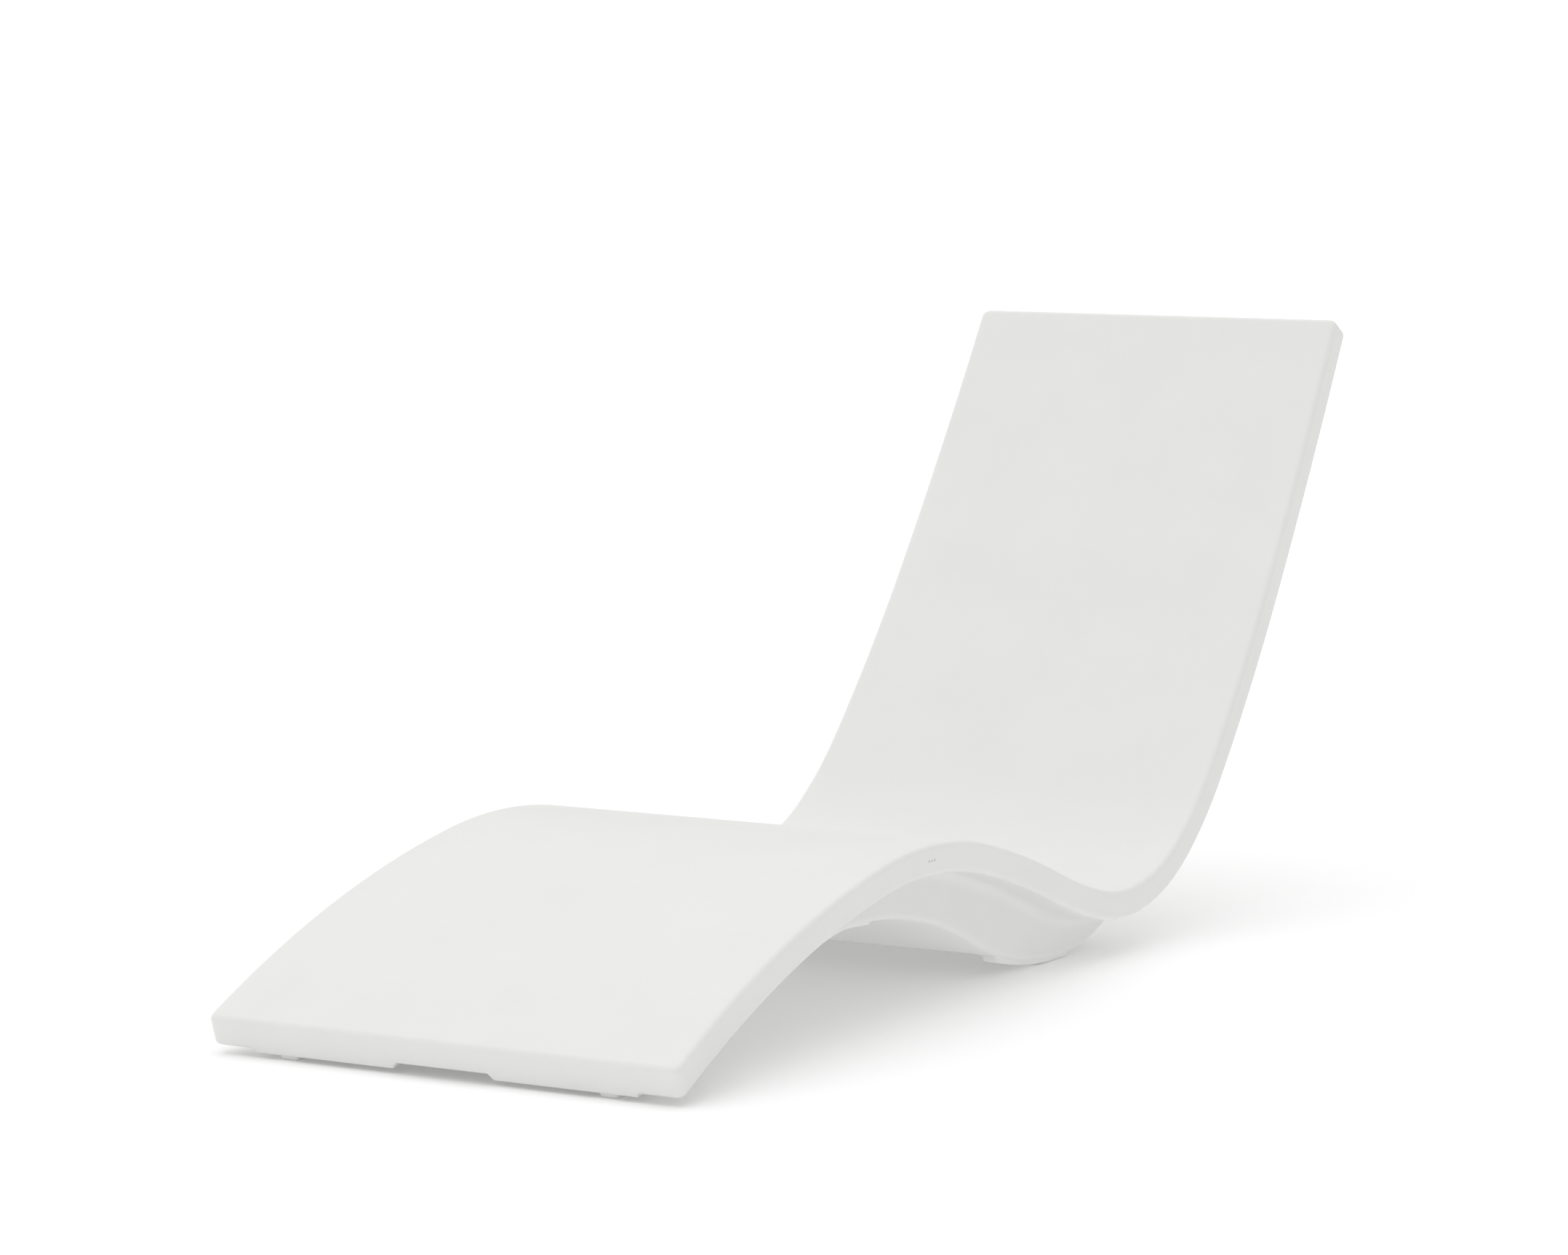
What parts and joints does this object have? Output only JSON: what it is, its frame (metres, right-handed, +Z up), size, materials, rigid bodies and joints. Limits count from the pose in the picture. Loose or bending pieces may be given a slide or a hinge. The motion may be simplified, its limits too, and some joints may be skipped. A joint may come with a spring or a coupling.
{
  "type": "in-pool sun lounger",
  "caption": "S-curved one-piece hollow white lounger that is filled with water to stand in a shallow pool, with skids below and screw plugs in its back face.",
  "frame": {"origin": "on the floor, under the middle of the overall length and width", "axes": "+X to the right as seen from the foot end, +Y from the foot to the head, +Z up"},
  "size_m": [0.6796, 1.9425, 0.8321],
  "materials": {
    "moulded_shell": "white rotomoulded polyethylene with a fine matt texture",
    "skid": "white non-marking elastomer",
    "bushing": "off-white moulded nylon",
    "seal": "black rubber",
    "plug": "white injection-moulded plastic"
  },
  "bodies": {
    "body": {"shell": "moulded_shell", "front_left_skid": "skid", "front_right_skid": "skid", "rear_left_skid": "skid", "rear_right_skid": "skid", "fill_bushing": "bushing", "drain_bushing": "bushing"},
    "fill_ring": {"fill_ring": "seal"},
    "fill_plug": {"fill_plug": "plug"},
    "drain_ring": {"drain_ring": "seal"},
    "drain_plug": {"drain_plug": "plug"}
  },
  "joints": [
    {"name": "fill_plug_lift", "type": "slide", "parent": "body", "child": "fill_ring", "axis": [0, 0.8312, -0.556], "range_m": [0, 0.016]},
    {"name": "fill_plug_turn", "type": "hinge", "parent": "fill_ring", "child": "fill_plug", "pos_m": [0, 0.81798, 0.56963], "axis": [0, 0.8312, -0.556], "range_deg": [0, 1440]},
    {"name": "drain_plug_lift", "type": "slide", "parent": "body", "child": "drain_ring", "axis": [0, 0.6616, -0.7499], "range_m": [0, 0.016]},
    {"name": "drain_plug_turn", "type": "hinge", "parent": "drain_ring", "child": "drain_plug", "pos_m": [0, 0.49293, 0.15831], "axis": [0, 0.6616, -0.7499], "range_deg": [0, 1440]}
  ],
  "couplings": [
    {"joint": "fill_plug_lift", "follows": "fill_plug_turn", "m_per_rad": 0.00063662},
    {"joint": "drain_plug_lift", "follows": "drain_plug_turn", "m_per_rad": 0.00063662}
  ]
}
